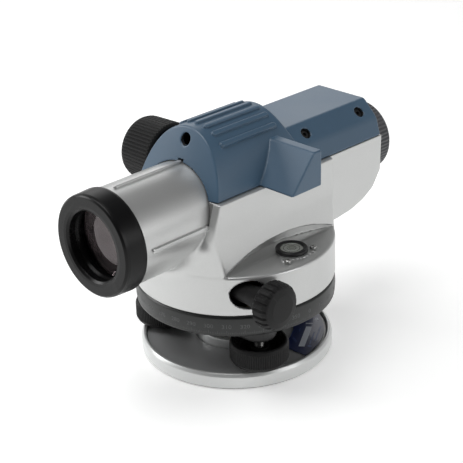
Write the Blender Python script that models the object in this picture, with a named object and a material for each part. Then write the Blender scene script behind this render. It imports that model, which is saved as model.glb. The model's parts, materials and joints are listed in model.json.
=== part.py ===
"""Automatic level on its three-screw levelling head, modelled in metres with +Z up.

The origin is the centre of the base plate's underside, on the tripod screw's axis. The line of sight
runs along -Y, the objective at -Y and the eyepiece at +Y. +X is the side with the round bubble.
Dimensions below are in millimetres and are scaled by MM where meshes are made.
"""

import math

import bpy
from mathutils import Matrix, Vector

MM = 0.001

# Base plate and levelling head
BASE_R = 55.5
BASE_H = 9.5
LIP_R = 52.4
RECESS_Z = 6.4
BOSS_R = 23.5
BOSS_Z = 13.2
INSERT_R = 11.0
THREAD_R = 6.9
FOOT_PITCH_R = 43.5
FOOT_ANGLES = (-28.3, 91.7, 211.7)
FOOT_R = 16.5
FOOT_LOW = 10.8
FOOT_TOP = 24.4
HEAD_LOW = 26.6
HEAD_TOP = 33.2

# Horizontal circle and housing
CIRCLE_R = 57.2
CIRCLE_LOW = 33.8
CIRCLE_TOP = 46.3
SKIRT_R = 57.0
SKIRT_LOW = 46.7
LEDGE_Z = 70.0
SPLIT_Z = 109.5
BODY_X = 33.0
FLARE_X = 36.7
TAIL_X = 30.2
TAIL_Y = 93.0
LEAN = 0.307
LEAN_Y = -46.0
COVER_LEAN = 0.39
COVER_Y = -41.4
COVER_BOW = 3.2
BARREL_Z = 98.0
WALL = 2.6

# Telescope
SIGHT_Z = 97.0
TUBE_R = 27.0
TUBE_BORE = 24.6
OBJECTIVE_Y = -102.1
RING_BACK = -88.8

# Drive, focus and compensator axes
DRIVE_Y = -33.9
DRIVE_Z = 59.2
FOCUS_Y = -3.5
FOCUS_Z = 105.0
SWING_Y = 29.0
SWING_Z = 111.4
BUBBLE = (40.5, 3.7)

for item in list(bpy.data.objects):
    bpy.data.objects.remove(item)


def material(name, colour, roughness, metallic):
    """A Principled material with one colour, roughness and metallic value."""
    made = bpy.data.materials.new(name)
    made.use_nodes = True
    shader = made.node_tree.nodes["Principled BSDF"]
    shader.inputs["Base Color"].default_value = (*colour, 1.0)
    shader.inputs["Roughness"].default_value = roughness
    shader.inputs["Metallic"].default_value = metallic
    made.diffuse_color = (*colour, 1.0)
    return made


SILVER = material("silver_paint", (0.62, 0.63, 0.62), 0.42, 0.35)
BLUE = material("blue_paint", (0.075, 0.145, 0.225), 0.45, 0.0)
BLACK = material("black_plastic", (0.018, 0.018, 0.019), 0.45, 0.0)
GREY = material("grey_rubber", (0.06, 0.06, 0.065), 0.6, 0.0)
DARK = material("dark_plate", (0.09, 0.095, 0.1), 0.4, 0.8)
STEEL = material("steel", (0.6, 0.6, 0.6), 0.25, 1.0)
BRASS = material("brass", (0.62, 0.46, 0.2), 0.3, 1.0)
GLASS = material("glass", (0.75, 0.8, 0.85), 0.05, 0.0)
VIAL = material("vial", (0.75, 0.85, 0.45), 0.05, 0.0)
MIRROR = material("mirror", (0.85, 0.85, 0.85), 0.02, 1.0)
LABEL = material("label", (0.02, 0.035, 0.11), 0.4, 0.0)


def add_object(name, vertices, faces, mat, smooth=True):
    """A mesh object from vertices in millimetres, with outward normals."""
    mesh = bpy.data.meshes.new(name)
    mesh.from_pydata([Vector(v) * MM for v in vertices], [], faces)
    mesh.update()
    if smooth:
        mesh.shade_smooth()
        mesh.set_sharp_from_angle(angle=math.radians(32.0))
    if mat is not None:
        mesh.materials.append(mat)
    made = bpy.data.objects.new(name, mesh)
    bpy.context.scene.collection.objects.link(made)
    return made


def frame(axis, at):
    """The matrix that turns a shape built round +Z to a new axis and place, in metres."""
    turn = {
        "Z": Matrix.Identity(3),
        "X": Matrix(((0, 0, 1), (1, 0, 0), (0, 1, 0))),
        "Y": Matrix(((1, 0, 0), (0, 0, 1), (0, -1, 0))),
    }[axis]
    return Matrix.Translation(Vector(at) * MM) @ turn.to_4x4()


def signed_area(profile):
    total = 0.0
    for (r0, z0), (r1, z1) in zip(profile, profile[1:] + profile[:1]):
        total += r0 * z1 - r1 * z0
    return total / 2.0


def lathe(name, profile, mat, axis="Z", at=(0, 0, 0), segments=32, flutes=None):
    """A closed profile of (radius, height) turned round an axis.

    flutes gives (low height, high height, depth): outer points between those heights are cut in by
    the depth at every other segment, which makes a ribbed grip.
    """
    profile = [tuple(p) for p in profile]
    if signed_area(profile) < 0:
        profile = profile[::-1]
    vertices, rings = [], []
    outer = max(r for r, _ in profile)
    for r, z in profile:
        if r < 1e-6:
            rings.append([len(vertices)] * segments)
            vertices.append((0.0, 0.0, z))
            continue
        start = len(vertices)
        for i in range(segments):
            radius = r
            if flutes and flutes[0] <= z <= flutes[1] and r > outer * 0.9 and i % 2:
                radius = r - flutes[2]
            turn = 2 * math.pi * (i + 0.5) / segments
            vertices.append((radius * math.cos(turn), radius * math.sin(turn), z))
        rings.append(list(range(start, start + segments)))
    faces = []
    for low, high in zip(rings, rings[1:] + rings[:1]):
        if low[0] == low[1] and high[0] == high[1]:
            continue
        for i in range(segments):
            j = (i + 1) % segments
            corners = [low[i], low[j], high[j], high[i]]
            face = [c for k, c in enumerate(corners) if c not in corners[:k]]
            if len(face) > 2:
                faces.append(face)
    made = add_object(name, vertices, faces, mat)
    made.matrix_world = frame(axis, at)
    return made


def prism(name, outline, low, high, mat, axis="Z", at=(0, 0, 0)):
    """An outline of (u, v) points extruded along an axis, from low to high.

    On Z the outline is (x, y), on X it is (y, z), and on Y it is (x, z).
    """
    outline = [tuple(p) for p in outline]
    if axis == "Y":
        points = [(x, -z) for x, z in outline]
    else:
        points = outline
    if signed_area(points) < 0:
        points = points[::-1]
    count = len(points)
    vertices = [(u, v, low) for u, v in points] + [(u, v, high) for u, v in points]
    faces = [tuple(range(count))[::-1], tuple(range(count, 2 * count))]
    for i in range(count):
        j = (i + 1) % count
        faces.append((i, j, count + j, count + i))
    made = add_object(name, vertices, faces, mat)
    made.matrix_world = frame(axis, at)
    return made


def box(name, low, high, mat=None):
    """A box between two corners."""
    (x0, y0, z0), (x1, y1, z1) = low, high
    return prism(name, [(x0, y0), (x1, y0), (x1, y1), (x0, y1)], z0, z1, mat)


def rod(name, radius, low, high, mat=None, axis="Z", at=(0, 0, 0), segments=32):
    """A plain cylinder along an axis."""
    return lathe(name, [(0, low), (radius, low), (radius, high), (0, high)], mat, axis, at, segments)


def tool(made):
    """Marks an object as a cutter or a guide that isn't part of the model."""
    made.hide_render = True
    made.display_type = "WIRE"
    return made


def combine(target, other, operation):
    """A live Boolean of one object with another, which becomes a guide."""
    step = target.modifiers.new(other.name, "BOOLEAN")
    step.operation = operation
    step.solver = "EXACT"
    step.object = tool(other)
    return target


def cut(target, *others):
    for other in others:
        combine(target, other, "DIFFERENCE")
    return target


def join(target, *others):
    for other in others:
        combine(target, other, "UNION")
    return target


def keep(target, other):
    return combine(target, other, "INTERSECT")


def arc(cx, cy, radius, start, end, count):
    """Points on a circle from one angle to another, in degrees."""
    steps = [math.radians(start + (end - start) * i / (count - 1)) for i in range(count)]
    return [(cx + radius * math.cos(t), cy + radius * math.sin(t)) for t in steps]


def lean_y(z, inset=0.0):
    """Where the leaning front face lies at a height."""
    return LEAN_Y + LEAN * (z - SIGHT_Z) + inset


def front_space(name, inset=0.0):
    """A guide that fills the space in front of the leaning face."""
    outline = [(lean_y(30, inset), 30), (lean_y(170, inset), 170), (-170, 170), (-170, 30)]
    return prism(name, outline, -90, 90, None, "X")


def foot_at(index):
    turn = math.radians(FOOT_ANGLES[index])
    return FOOT_PITCH_R * math.cos(turn), FOOT_PITCH_R * math.sin(turn)


def make_base():
    profile = [
        (INSERT_R + 0.3, 0.0), (BASE_R - 1.4, 0.0), (BASE_R, 1.2), (BASE_R, BASE_H - 1.6),
        (BASE_R - 0.5, BASE_H - 0.5), (BASE_R - 1.7, BASE_H), (LIP_R + 0.9, BASE_H),
        (LIP_R, BASE_H - 0.9), (LIP_R, RECESS_Z), (BOSS_R, RECESS_Z), (BOSS_R, BOSS_Z - 0.8),
        (BOSS_R - 0.8, BOSS_Z), (INSERT_R + 0.3, BOSS_Z),
    ]
    plate = lathe("base_plate", profile, SILVER, segments=44)
    for i in range(3):
        x, y = foot_at(i)
        cut(plate, rod(f"seat_cut_{i}", 4.6, 2.7, RECESS_Z + 3, at=(x, y, 0), segments=14))

    lathe("thread_insert", [
        (THREAD_R + 1.0, 0.1), (INSERT_R, 0.1), (INSERT_R, BOSS_Z - 0.4), (THREAD_R + 0.6, BOSS_Z - 0.4),
        (THREAD_R, BOSS_Z - 1.2), (THREAD_R, 1.1),
    ], BRASS, segments=24)

    top = RECESS_Z + 1.3
    spring = lathe("spring_plate", [
        (BOSS_R + 0.5, RECESS_Z + 0.3), (LIP_R - 0.4, RECESS_Z + 0.3), (LIP_R - 0.4, top),
        (BOSS_R + 0.5, top),
    ], DARK, segments=40)
    for i in range(3):
        x, y = foot_at(i)
        cut(spring, rod(f"spring_cut_{i}", 2.9, 4.0, top + 3, at=(x, y, 0), segments=14))

    label = arc(0, 0, 50.8, 4, 64, 15) + arc(0, 0, 33.0, 64, 4, 11)
    prism("base_label", label, top + 0.3, top + 0.5, LABEL)


def make_foot(index):
    at = (*foot_at(index), 0)
    number = index + 1
    low, top = FOOT_LOW, FOOT_TOP
    lathe(f"foot_knob_{number}", [
        (3.3, low), (13.8, low), (15.6, low + 1.6), (FOOT_R, low + 4.0), (FOOT_R, top - 1.2),
        (FOOT_R - 0.9, top), (FOOT_R - 2.6, top), (FOOT_R - 3.4, top - 1.0), (11.8, 19.6), (6.2, 18.4),
        (5.6, 20.6), (3.3, 20.6),
    ], BLACK, at=at, segments=28, flutes=(low + 3.0, top - 1.0, 0.55))
    lathe(f"foot_spindle_{number}", [
        (0, 3.0), (3.2, 3.0), (4.2, 3.9), (4.2, 5.2), (2.5, 6.3), (2.5, 9.4), (3.0, 10.0),
        (3.0, 31.6), (2.4, 32.2), (0, 32.2),
    ], STEEL, at=at, segments=12)


def hull(points):
    """The convex outline round a set of points."""
    points = sorted(set(points))

    def half(series):
        found = []
        for p in series:
            while len(found) > 1:
                (ax, ay), (bx, by) = found[-2], found[-1]
                if (bx - ax) * (p[1] - ay) - (by - ay) * (p[0] - ax) > 1e-9:
                    break
                found.pop()
            found.append(p)
        return found[:-1]

    return half(points) + half(points[::-1])


def make_head():
    corners = []
    for i in range(3):
        x, y = foot_at(i)
        corners += arc(x, y, 9.4, 0, 342, 20)
    head = prism("tribrach_head", hull(corners), HEAD_LOW, HEAD_TOP, BLACK)
    join(head, rod("hub_add", 21.5, 16.2, HEAD_LOW + 1.0))
    cut(head, rod("hub_cut", 12.6, 10, 40))
    for i in range(3):
        x, y = foot_at(i)
        cut(head, rod(f"boss_cut_{i}", 3.4, 20, 40, at=(x, y, 0), segments=14))

    lathe("bearing_bush", [(10.1, 16.6), (12.3, 16.6), (12.3, 62.4), (10.1, 62.4)], BRASS)
    lathe("graduated_circle", [
        (12.7, 34.4), (CIRCLE_R - 4.2, 34.4), (CIRCLE_R - 3.6, CIRCLE_LOW), (CIRCLE_R - 1.1, CIRCLE_LOW),
        (CIRCLE_R, CIRCLE_LOW + 1.2), (CIRCLE_R, CIRCLE_TOP - 1.6), (CIRCLE_R - 0.4, CIRCLE_TOP),
        (CIRCLE_R - 4.0, CIRCLE_TOP), (CIRCLE_R - 4.0, 36.6), (12.7, 36.6),
    ], BLACK, segments=44)


def bubble_scoop():
    """The eye-shaped space over the ledge, between a bowed wall and an arched upper edge."""
    depth = FLARE_X - 26.3
    bow = (44.0 ** 2 + depth ** 2) / (2 * depth)
    rise = 9.0
    arch = (44.0 ** 2 + rise ** 2) / (2 * rise)
    scoop = rod("scoop", bow, LEDGE_Z, 90, at=(26.3 + bow, 0, 0), segments=128)
    keep(scoop, rod("scoop_arch", arch, 10, 80, axis="X", at=(0, 0, LEDGE_Z + rise - arch), segments=128))
    return scoop


def make_lower_housing():
    top = SPLIT_Z
    body = rod("lower_housing", SKIRT_R, SKIRT_LOW, top, SILVER, segments=64)
    side = [(-BODY_X, top + 5), (-BODY_X, 90), (-FLARE_X, LEDGE_Z), (-70, LEDGE_Z), (-70, 40)]
    outline = side + [(-x, z) for x, z in side[::-1]]
    keep(body, prism("side_form", outline, -60, 60, None, "Y"))
    cut(body, box("shoulder_cut", (-60, 47, LEDGE_Z), (60, 70, 130)))
    tail = [
        (30, 69.0), (52.3, 68.6), (66.2, 70.1), (77.0, 73.4), (85.7, 78.3), (92.4, 88.0),
        (TAIL_Y, top), (30, top),
    ]
    join(body, prism("tail_add", tail, -TAIL_X, TAIL_X, None, "X"))
    cut(body, front_space("front_cut"))
    cut(body, bubble_scoop())

    cavity = [(-23.4, 72.4), (-23.4, 80), (-30.2, 86), (-30.2, top + 4)]
    cavity = prism("cavity", cavity + [(-x, z) for x, z in cavity[::-1]], -60, 100, None, "Y")
    length = [
        (-46.4, 72), (-46.4, 86), (-38.6, top + 3), (90.2, top + 3), (89.6, 89.2), (83.4, 80.8),
        (75.8, 76.2), (66.0, 73.0), (55.0, 71.9),
    ]
    keep(cavity, prism("cavity_length", length, -28.2, 28.2, None, "X"))
    cut(body, cavity)
    cut(body, rod("bell", SKIRT_R - WALL - 0.6, 40, 66.9, segments=48))
    cut(body, rod("tube_hole", TUBE_R + 0.3, -72, -32, axis="Y", at=(0, 0, SIGHT_Z), segments=56))
    cut(body, rod("eyepiece_hole", 15.5, 80, 100, axis="Y", at=(0, 0, SIGHT_Z), segments=32))
    for side in (-1, 1):
        low, high = sorted((side * 24, side * 64))
        cut(body, rod(f"drive_hole_{side}", 8.2, low, high, axis="X", at=(0, DRIVE_Y, DRIVE_Z), segments=28))
    cut(body, rod("focus_hole", 3.6, -40, -20, axis="X", at=(0, FOCUS_Y, FOCUS_Z), segments=16))


def tube_rib(name, angle, end):
    """A thin rib along the telescope tube at an angle round its axis."""
    half = 1.1
    rib = box(name, (TUBE_R - 1.5, -84.5, -half), (TUBE_R + 1.2, end, half))
    rib.matrix_world = (
        Matrix.Translation((0, 0, SIGHT_Z * MM)) @ Matrix.Rotation(math.radians(-angle), 4, "Y")
    )
    return rib


def make_telescope():
    tube = lathe("telescope_tube", [
        (TUBE_BORE, 33.0), (TUBE_R, 33.0), (TUBE_R, -RING_BACK - 0.4), (TUBE_BORE, -RING_BACK - 0.4),
    ], SILVER, segments=48)
    tube.matrix_world = Matrix.Translation((0, 0, SIGHT_Z * MM)) @ Matrix.Rotation(math.pi / 2, 4, "X")
    join(tube, tube_rib("rib_top", 90, -38.4))
    join(tube, tube_rib("rib_right", 0, -46.6), tube_rib("rib_left", 180, -46.6))

    front, back = -OBJECTIVE_Y, -RING_BACK
    ring = lathe("objective_ring", [
        (19.0, front - 1.2), (20.4, front - 0.2), (22.0, front), (26.4, front), (27.4, front - 0.7),
        (27.9, front - 2.2), (28.3, back + 1.4), (28.1, back), (24.3, back), (24.3, back - 7.0),
        (20.8, back - 7.0), (20.8, 93.2), (19.0, 93.2),
    ], BLACK, segments=36)
    ring.matrix_world = tube.matrix_world.copy()
    lens = lathe("objective_lens", [
        (0, 94.6), (8, 94.1), (14, 93.1), (17.5, 92.2), (20.4, 91.4), (20.4, 87.6), (0, 86.0),
    ], GLASS)
    lens.matrix_world = tube.matrix_world.copy()
    clip = lathe("objective_retainer", [(17.4, 85.2), (20.4, 85.2), (20.4, 82.6), (17.4, 82.6)], BLACK)
    clip.matrix_world = tube.matrix_world.copy()


def half_barrel(a, b, foot, count=25):
    """The upper part of an ellipse round x = 0, z = BARREL_Z, above a height."""
    start = math.asin((foot - BARREL_Z) / b)
    turns = [start + (math.pi - 2 * start) * i / (count - 1) for i in range(count)]
    return [(a * math.cos(t), BARREL_Z + b * math.sin(t)) for t in turns]


def cover_front(name, inset=0.0):
    """A guide that fills the space in front of the cover's leaning face, which bows a little forward."""
    across = [-90.0] + [6.0 * i for i in range(-5, 6)] + [90.0]
    vertices = []
    for z in (90.0, 170.0):
        y = COVER_Y + COVER_LEAN * (z - SPLIT_Z) + inset
        plan = [(x, y - COVER_BOW * max(0.0, 1 - (x / 30.0) ** 2)) for x in across]
        vertices += [(x, v, z) for x, v in [(-90.0, -170.0), (90.0, -170.0)] + plan[::-1]]
    count = len(vertices) // 2
    faces = [tuple(range(count))[::-1], tuple(range(count, 2 * count))]
    faces += [(i, (i + 1) % count, count + (i + 1) % count, count + i) for i in range(count)]
    return add_object(name, vertices, faces, None)


def make_cover():
    foot = SPLIT_Z + 0.3
    cover = prism("upper_cover", half_barrel(31.5, 44.4, foot), -60, 40, BLUE, "Y")
    lean_back = [(19.2, 150), (19.2, 134.5), (36.4, 100), (120, 100), (120, 150)]
    cut(cover, cover_front("cover_front"), prism("cover_back", lean_back, -60, 60, None, "X"))
    block = [(30.2, foot), (27.2, 120.0), (17.5, 129.6)]
    block = prism("block_add", block + [(-x, z) for x, z in block[::-1]], 6, 91.5, None, "Y")
    join(cover, block)
    for i in range(-3, 4):
        x = 6.0 * i
        z = BARREL_Z + 44.4 * math.sqrt(1 - (x / 31.5) ** 2)
        join(cover, box(f"rib_{i + 3}", (x - 1.4, -26, z - 2.4), (x + 1.4, 15, z + 1.3)))
    hood = [(-10.0, foot), (7.0, 130.0), (13.0, 130.0), (13.0, foot)]
    join(cover, prism("hood_add", hood, 25.0, 54.0, None, "X"))

    inner = prism("cover_inner", half_barrel(28.9, 41.8, 106), -60, 60, None, "Y")
    cut(inner, cover_front("inner_front", WALL))
    back = [(16.6, 150), (16.6, 133.5), (33.4, 100), (90, 100), (90, 150)]
    cut(inner, prism("inner_back", back, -60, 60, None, "X"))
    room = [(27.4, 106), (24.9, 118.8), (16.4, 127.0)]
    room = prism("inner_block", room + [(-x, z) for x, z in room[::-1]], 10, 89.0, None, "Y")
    cut(cover, inner, room)
    space = [(-6.4, 105.0), (-6.4, 111.1), (7.4, 127.4), (16.0, 127.4), (16.0, 105.0)]
    cut(cover, prism("hood_room", space, 34.0, 51.6, None, "X"))
    cut(cover, rod("arch_hole", TUBE_R + 0.3, -72, -32, axis="Y", at=(0, 0, SIGHT_Z), segments=56))
    cut(cover, rod("rear_hole", 15.5, 80, 100, axis="Y", at=(0, 0, SIGHT_Z)))
    cut(cover, box("rib_notch", (-2.3, -60, 118), (2.3, -30, 126.6)))
    cut(cover, rod("sight_hole", 3.3, -60, -20, axis="Y", at=(0, 0, 135.8), segments=24))

    for index, (side, y) in enumerate(((1, 35.7), (1, 81.0), (-1, 35.7), (-1, 81.0)), 1):
        turn = Matrix.Rotation(side * math.radians(45), 4, "Y")
        place = Matrix.Translation(Vector((side * 22.4, y, 124.8)) * MM) @ turn
        hole = rod(f"screw_cut_{index}", 3.2, -9, 6, segments=24)
        hole.matrix_world = place
        cut(cover, hole)
        screw = lathe(f"cover_screw_{index}", [
            (0, -6.0), (1.6, -6.0), (1.6, -2.6), (2.8, -2.6), (2.8, -0.9), (2.4, -0.5), (1.2, -0.5),
            (1.2, -1.9), (0, -1.9),
        ], BLACK, segments=10)
        screw.matrix_world = place


def make_bearing():
    lathe("bearing_spindle", [
        (0, 16.8), (9.2, 16.8), (9.9, 17.6), (9.9, 62.6), (16.0, 63.2), (16.0, 66.5), (0, 66.5),
    ], STEEL)
    lathe("worm_wheel", [(12.7, 56.6), (29.3, 56.6), (29.3, 62.4), (12.7, 62.4)], BRASS, segments=40,
          flutes=(56.0, 63.0, 0.5))


def make_drive():
    at = (0, DRIVE_Y, DRIVE_Z)
    profile = [(0, -44.0), (3.0, -44.0), (3.0, -13.0)]
    for i in range(3):
        x = -4.0 + 4.0 * i
        profile += [(3.2, x - 1.0), (4.2, x - 0.3), (4.2, x + 0.3), (3.2, x + 1.0)]
    profile += [(3.0, 13.0), (3.0, 44.0), (0, 44.0)]
    lathe("worm_shaft", profile, STEEL, "X", at, 14)
    for side, word in ((1, "right"), (-1, "left")):
        lathe(f"drive_sleeve_{word}", [
            (3.6, side * 29.5), (7.8, side * 29.5), (7.8, side * 37.4), (6.9, side * 37.4),
            (6.9, side * 31.5), (3.6, side * 31.5),
        ], BLACK, "X", at, 20)
        lathe(f"drive_knob_{word}", [
            (3.3, side * 34.0), (4.6, side * 34.0), (4.9, side * 46.0), (6.4, side * 56.5),
            (11.6, side * 57.8), (13.0, side * 59.3), (13.0, side * 65.8), (12.3, side * 67.6),
            (10.0, side * 68.8), (5.0, side * 69.3), (0, side * 69.3), (0, side * 44.4), (3.3, side * 44.4),
        ], BLACK, "X", at, 28, flutes=((58.8, 67.6, 0.8) if side > 0 else (-67.6, -58.8, 0.8)))


def make_focus():
    at = (0, FOCUS_Y, FOCUS_Z)
    lathe("focus_collar", [(3.4, -45.2), (13.5, -45.2), (13.5, -33.4), (3.4, -33.4)], BLACK, "X", at, 28)
    lathe("focus_knob", [
        (2.6, -45.5), (17.6, -45.5), (19.4, -46.6), (18.6, -67.6), (17.6, -69.6), (15.6, -70.5),
        (0, -70.5), (0, -60.0), (2.6, -60.0),
    ], BLACK, "X", at, 48, flutes=(-68.0, -46.4, 0.6))
    lathe("focus_pinion", [
        (0, -59.7), (2.2, -59.7), (2.2, -20.4), (2.6, -20.2), (2.6, -15.4), (1.6, -15.0), (0, -15.0),
    ], BRASS, "X", at, 20, flutes=(-20.3, -15.3, 0.5))

    carriage = lathe("focus_carriage", [(12.0, -3.0), (14.3, -3.0), (14.3, 21.0), (12.0, 21.0)], BRASS,
                     "Z", (0, 0, 0), 28)
    turn = Matrix.Translation((0, 0, SIGHT_Z * MM)) @ Matrix.Rotation(math.pi / 2, 4, "X")
    carriage.matrix_world = turn
    rack = [(-22.0, 99.2), (10.0, 99.2), (10.0, 102.0)]
    for i in range(19):
        y = 9.2 - 1.57 * i
        rack += [(y, 102.0), (y - 0.4, 101.2), (y - 0.8, 101.2), (y - 1.2, 102.0)]
    rack += [(-22.0, 102.0)]
    join(carriage, prism("rack_add", rack, -20.0, -15.4, None, "X"))
    join(carriage, box("rack_arm", (-17.0, -18.0, 99.6), (-12.8, 0.0, 100.8)))
    lens = lathe("focusing_lens", [(0, 6.4), (11.6, 5.4), (11.6, 9.6), (0, 8.6)], GLASS)
    lens.matrix_world = turn


def make_compensator():
    frame_box = box("compensator_frame", (-16.5, 22.0, 73.0), (16.5, 36.0, 116.0), DARK)
    cut(frame_box, box("frame_cut", (-13.8, 10, 76.0), (13.8, 50, 112.6)))
    box("damper_magnet", (-7.0, 26.0, 76.3), (7.0, 32.0, 80.4), STEEL)
    bob = box("pendulum", (-9.0, 24.6, 86.0), (9.0, 33.4, 92.0), BRASS)
    join(bob, box("damper_vane", (-5.0, 28.4, 80.8), (5.0, 29.6, 86.5)))
    for i, x in enumerate((-9.6, 9.0)):
        join(bob, box(f"bob_side_{i}", (x, 24.6, 90.0), (x + 0.6, 33.4, 104.4)))
    join(bob, box("bob_top", (-9.6, 24.6, 103.6), (9.6, 33.4, 104.6)))
    for i, (x, y) in enumerate(((-6, 26.4), (6, 26.4), (-6, 31.6), (6, 31.6))):
        join(bob, rod(f"wire_{i}", 0.25, 104.0, SWING_Z + 0.6, at=(x, y, 0), segments=8))
    roof = [(25.2, 92.4), (32.8, 92.4), (32.8, 99.6), (29.0, 103.2), (25.2, 99.6)]
    prism("pendulum_prism", roof, -8.6, 8.6, GLASS, "X")
    prism("fixed_prism", [(42.0, 86.0), (56.0, 86.0), (56.0, 106.0), (49.0, 106.0)], -9.0, 9.0,
          GLASS, "X")


def make_eyepiece():
    turn = Matrix.Translation((0, 0, SIGHT_Z * MM)) @ Matrix.Rotation(-math.pi / 2, 4, "X")
    parts = (
        ("reticle_ring", [(9.0, 65.0), (13.2, 65.0), (13.2, 70.0), (9.0, 70.0)], BRASS, 28, None),
        ("reticle_glass", [(0, 67.0), (8.7, 67.0), (8.7, 68.2), (0, 68.2)], GLASS, 28, None),
        ("eyepiece_tube", [(9.4, 72.0), (15.1, 72.0), (15.1, 108.0), (14.2, 108.4), (9.4, 108.4)],
         BLACK, 32, None),
        ("eyepiece_lens", [(0, 101.0), (9.1, 102.0), (9.1, 105.4), (0, 107.4)], GLASS, 28, None),
        ("eyepiece_ring", [
            (15.5, 94.2), (20.6, 94.2), (21.6, 95.2), (21.6, 110.6), (20.4, 112.5), (12.8, 112.5),
            (10.4, 110.6), (9.6, 108.8), (15.5, 108.8),
        ], GREY, 40, (95.0, 111.0, 0.5)),
    )
    for name, profile, mat, segments, grip in parts:
        made = lathe(name, profile, mat, segments=segments, flutes=grip)
        made.matrix_world = turn


def make_bubble():
    x, y = BUBBLE
    z = LEDGE_Z + 0.3
    lathe("bubble_ring", [
        (6.6, z), (8.8, z), (9.0, z + 0.6), (9.0, z + 1.7), (8.5, z + 2.2), (6.6, z + 2.2),
    ], BLACK, at=(x, y, 0), segments=24)
    lathe("bubble_vial", [(0, z), (6.2, z), (6.2, z + 1.7), (3.2, z + 2.0), (0, z + 2.1)], VIAL,
          at=(x, y, 0), segments=20)
    for number, (sx, sy) in enumerate(((47.6, 13.3), (49.1, -8.5)), 1):
        lathe(f"bubble_screw_{number}", [
            (0, z), (1.9, z), (1.9, z + 1.3), (1.5, z + 1.6), (0.8, z + 1.6), (0.8, z + 0.8), (0, z + 0.8),
        ], STEEL, at=(sx, sy, 0), segments=10)
    length = math.hypot(13.8, 16.3)
    ny, nz = 16.3 / length, -13.8 / length
    low = (-6.4 + 0.35 * ny, 111.1 + 0.35 * nz)
    high = (7.4 + 0.35 * ny, 127.4 + 0.35 * nz)
    edge = [low, high, (high[0] + 1.2 * ny, high[1] + 1.2 * nz), (low[0] + 1.2 * ny, low[1] + 1.2 * nz)]
    slide = [(p[0] + 0.02 * (13.8 / length), p[1]) for p in edge]
    middle = [(sum(p[0] for p in slide) / 4, sum(p[1] for p in slide) / 4)] * 4
    outline = [(m[0] + 0.93 * (p[0] - m[0]), m[1] + 0.93 * (p[1] - m[1])) for p, m in zip(slide, middle)]
    prism("bubble_mirror", outline, 34.4, 51.2, MIRROR, "X")


def make_joint_frames():
    """Empties on the joint axes, each the parent of the pieces that turn or slide with it."""
    frames = {
        "foot_1_axis": ((*foot_at(0), 0), ("foot_knob_1", "foot_spindle_1")),
        "foot_2_axis": ((*foot_at(1), 0), ("foot_knob_2", "foot_spindle_2")),
        "foot_3_axis": ((*foot_at(2), 0), ("foot_knob_3", "foot_spindle_3")),
        "drive_axis": ((0, DRIVE_Y, DRIVE_Z), ("worm_shaft", "drive_knob_right", "drive_knob_left")),
        "focus_axis": ((0, FOCUS_Y, FOCUS_Z), ("focus_knob", "focus_pinion")),
        "carriage_axis": ((0, 0, SIGHT_Z), ("focus_carriage", "focusing_lens")),
        "eyepiece_axis": ((0, 0, SIGHT_Z), ("eyepiece_ring",)),
        "swing_axis": ((0, SWING_Y, SWING_Z), ("pendulum", "pendulum_prism")),
    }
    for name, (at, children) in frames.items():
        hub = bpy.data.objects.new(name, None)
        bpy.context.scene.collection.objects.link(hub)
        hub.matrix_world = Matrix.Translation(Vector(at) * MM)
        for child in children:
            piece = bpy.data.objects[child]
            kept = piece.matrix_world.copy()
            piece.parent = hub
            piece.matrix_parent_inverse = hub.matrix_world.inverted()
            piece.matrix_world = kept


make_base()
for foot in range(3):
    make_foot(foot)
make_head()
make_lower_housing()
make_telescope()
make_cover()
make_bearing()
make_drive()
make_focus()
make_compensator()
make_eyepiece()
make_bubble()
bpy.context.view_layer.update()
make_joint_frames()
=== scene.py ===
"""Looks for the automatic level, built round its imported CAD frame.

Lengths in this file are millimetres and become metres where meshes are made. Every piece is made in
place in the frame of the CAD, so it only has to be told which body it rides on.
"""

import json
import math

import bpy
import numpy as np
from mathutils import Matrix, Vector


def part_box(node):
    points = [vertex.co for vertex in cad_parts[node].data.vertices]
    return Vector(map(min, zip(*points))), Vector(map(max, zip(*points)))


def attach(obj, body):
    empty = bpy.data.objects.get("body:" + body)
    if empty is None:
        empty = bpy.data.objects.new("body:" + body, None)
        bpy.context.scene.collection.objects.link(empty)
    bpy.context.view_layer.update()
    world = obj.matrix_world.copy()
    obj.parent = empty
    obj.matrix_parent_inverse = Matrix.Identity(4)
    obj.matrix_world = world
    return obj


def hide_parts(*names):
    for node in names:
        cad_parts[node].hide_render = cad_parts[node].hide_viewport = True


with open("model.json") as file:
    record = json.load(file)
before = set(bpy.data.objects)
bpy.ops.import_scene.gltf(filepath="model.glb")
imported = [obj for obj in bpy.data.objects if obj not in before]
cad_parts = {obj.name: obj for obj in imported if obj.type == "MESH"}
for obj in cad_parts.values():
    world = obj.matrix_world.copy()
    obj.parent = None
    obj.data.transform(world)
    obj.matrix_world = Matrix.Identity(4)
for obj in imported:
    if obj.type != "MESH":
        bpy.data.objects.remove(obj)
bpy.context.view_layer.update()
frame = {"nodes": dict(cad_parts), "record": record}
MM = 0.001
SLOTS = {entry["node"]: entry["material_slot"] for entry in frame["record"]["subparts"]}


def span(node):
    """The lowest and highest corner of a CAD node, in millimetres."""
    low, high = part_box(node)
    return low / MM, high / MM


def heights(node):
    return [corner.z for corner in span(node)]


def middle(node):
    low, high = span(node)
    return ((low + high) / 2).to_2d()


# ---------------------------------------- places and sizes, as in the CAD
# the lower housing: its skirt, flat flanks, front face, bubble ledge, and the split under the cover
SKIRT_LOW, SPLIT_Z = heights("lower_housing")
SKIRT_R, TAIL_Y, _ = span("lower_housing")[1]
FLANK = 33.0
FRONT_Y, FRONT_LEAN = -46.0, 0.307
LEDGE_Z = 70.0
# the telescope, and the axes of the two kinds of side knob
SIGHT_Z = 97.0
TUBE_R = 27.0
DRIVE_Y, DRIVE_Z = -33.9, 59.2
FOCUS_Y, FOCUS_Z = -3.5, 105.0
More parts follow.
